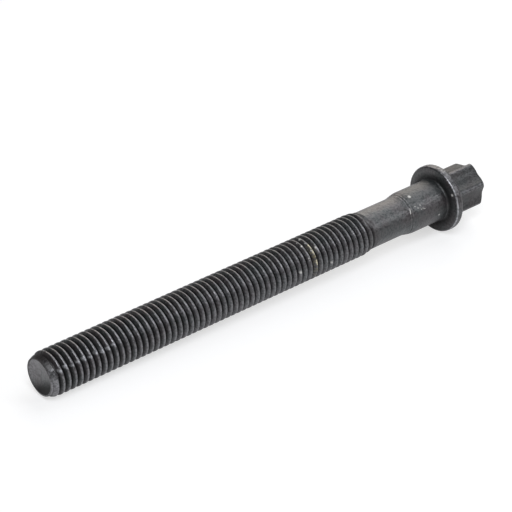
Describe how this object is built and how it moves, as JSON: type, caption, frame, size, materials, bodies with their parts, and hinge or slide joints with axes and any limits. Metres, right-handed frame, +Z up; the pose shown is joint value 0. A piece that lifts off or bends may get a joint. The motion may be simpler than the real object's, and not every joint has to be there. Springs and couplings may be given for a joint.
{
  "type": "cylinder head bolt",
  "caption": "Long flanged engine bolt with an external six-lobe drive, a plain waist and a coarse right-hand thread.",
  "frame": {"origin": "centre of the bounding box at the surface the bolt lies on", "axes": "+Z up; +X along the bolt from its point to its head, which lies 1.6 degrees higher because the flange is wider than the thread"},
  "size_m": [0.1218, 0.0158, 0.0158],
  "materials": {
    "phosphated_steel": "dark grey manganese phosphate with a film of oil, matt"
  },
  "bodies": {
    "root": {"head_bolt": "phosphated_steel"}
  },
  "joints": []
}
